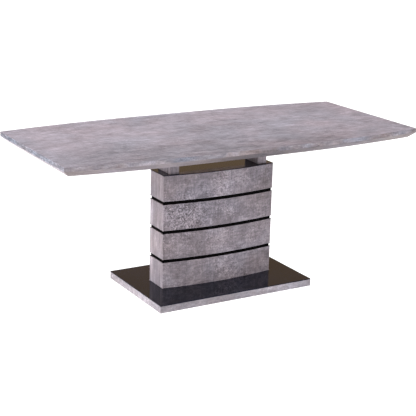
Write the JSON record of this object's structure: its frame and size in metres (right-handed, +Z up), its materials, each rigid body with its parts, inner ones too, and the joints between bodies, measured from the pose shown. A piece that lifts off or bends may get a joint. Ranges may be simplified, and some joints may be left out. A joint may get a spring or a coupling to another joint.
{
  "type": "extendable dining table",
  "caption": "Extendable pedestal dining table with a boat-shaped concrete-effect top, folding leaf, synchronised halves, grooved pedestal and black glass on its base.",
  "frame": {"origin": "on the floor, under the middle of the table", "axes": "+X along the top's length, +Y across it, +Z up"},
  "size_m": [1.812, 0.83, 0.75],
  "materials": {
    "concrete_foil_top": "concrete-effect decor foil on MDF, satin",
    "concrete_foil_pedestal": "concrete-effect decor foil on MDF, satin",
    "black_board": "black melamine-faced board",
    "black_glass": "back-painted black glass, polished",
    "raw_board": "raw MDF",
    "black_painted_steel": "black powder coat, satin",
    "zinc_plated_steel": "bright zinc plate",
    "gear_nylon": "moulded black nylon",
    "glide_plastic": "moulded black plastic, textured"
  },
  "bodies": {
    "pedestal": {"base_board": "concrete_foil_pedestal", "base_glass": "black_glass", "base_glide_1": "glide_plastic", "base_glide_2": "glide_plastic", "base_glide_3": "glide_plastic", "base_glide_4": "glide_plastic", "pedestal_band_1": "concrete_foil_pedestal", "pedestal_band_2": "concrete_foil_pedestal", "pedestal_band_3": "concrete_foil_pedestal", "pedestal_band_4": "concrete_foil_pedestal", "groove_spacer_1": "black_board", "groove_spacer_2": "black_board", "groove_spacer_3": "black_board", "pedestal_floor_board": "raw_board", "pedestal_cap_board": "raw_board", "pedestal_cap_glass": "black_glass", "neck_block_left": "concrete_foil_pedestal", "neck_block_right": "concrete_foil_pedestal", "bearer_left": "black_painted_steel", "bearer_right": "black_painted_steel", "tie_bolt_1": "zinc_plated_steel", "tie_bolt_2": "zinc_plated_steel", "tie_bolt_3": "zinc_plated_steel", "tie_bolt_4": "zinc_plated_steel", "tie_nut_1": "zinc_plated_steel", "tie_nut_2": "zinc_plated_steel", "tie_nut_3": "zinc_plated_steel", "tie_nut_4": "zinc_plated_steel", "rail_front": "black_painted_steel", "rail_back": "black_painted_steel", "centre_plate": "black_painted_steel", "pinion_pin": "zinc_plated_steel"},
    "pinion": {"pinion": "gear_nylon"},
    "left_top": {"left_top_board": "concrete_foil_top", "left_top_front_strip": "concrete_foil_top", "left_top_back_strip": "concrete_foil_top", "left_top_end_strip": "concrete_foil_top", "left_runner_front": "zinc_plated_steel", "left_runner_back": "zinc_plated_steel", "left_rack": "gear_nylon", "left_rack_block": "raw_board"},
    "right_top": {"right_top_board": "concrete_foil_top", "right_top_front_strip": "concrete_foil_top", "right_top_back_strip": "concrete_foil_top", "right_top_end_strip": "concrete_foil_top", "right_runner_front": "zinc_plated_steel", "right_runner_back": "zinc_plated_steel", "right_rack": "gear_nylon", "right_rack_block": "raw_board"},
    "leaf_left": {"leaf_left_board": "concrete_foil_top", "leaf_left_front_strip": "concrete_foil_top", "leaf_left_back_strip": "concrete_foil_top", "leaf_left_hinge_front": "zinc_plated_steel", "leaf_left_hinge_back": "zinc_plated_steel"},
    "leaf_right": {"leaf_right_board": "concrete_foil_top", "leaf_right_front_strip": "concrete_foil_top", "leaf_right_back_strip": "concrete_foil_top", "leaf_right_hinge_front": "zinc_plated_steel", "leaf_right_hinge_back": "zinc_plated_steel"}
  },
  "joints": [
    {"name": "left_top_slide", "type": "slide", "parent": "pedestal", "child": "left_top", "axis": [1, 0, 0], "range_m": [0, 0.2]},
    {"name": "right_top_slide", "type": "slide", "parent": "pedestal", "child": "right_top", "axis": [-1, 0, 0], "range_m": [0, 0.2]},
    {"name": "pinion_spin", "type": "hinge", "parent": "pedestal", "child": "pinion", "pos_m": [0, 0, 0.699], "axis": [0, 0, -1], "range_deg": [0, 480]},
    {"name": "leaf_lift", "type": "slide", "parent": "pedestal", "child": "leaf_left", "axis": [0, 0, 1], "range_m": [0, 1]},
    {"name": "leaf_fold", "type": "hinge", "parent": "leaf_left", "child": "leaf_right", "pos_m": [0, 0, 0.75], "axis": [0, -1, 0], "range_deg": [0, 178]}
  ],
  "couplings": [
    {"joint": "right_top_slide", "follows": "left_top_slide", "ratio": 1},
    {"joint": "pinion_spin", "follows": "left_top_slide", "rad_per_m": 41.667},
    {"joint": "leaf_lift", "follows": "left_top_slide", "ratio": 5}
  ]
}
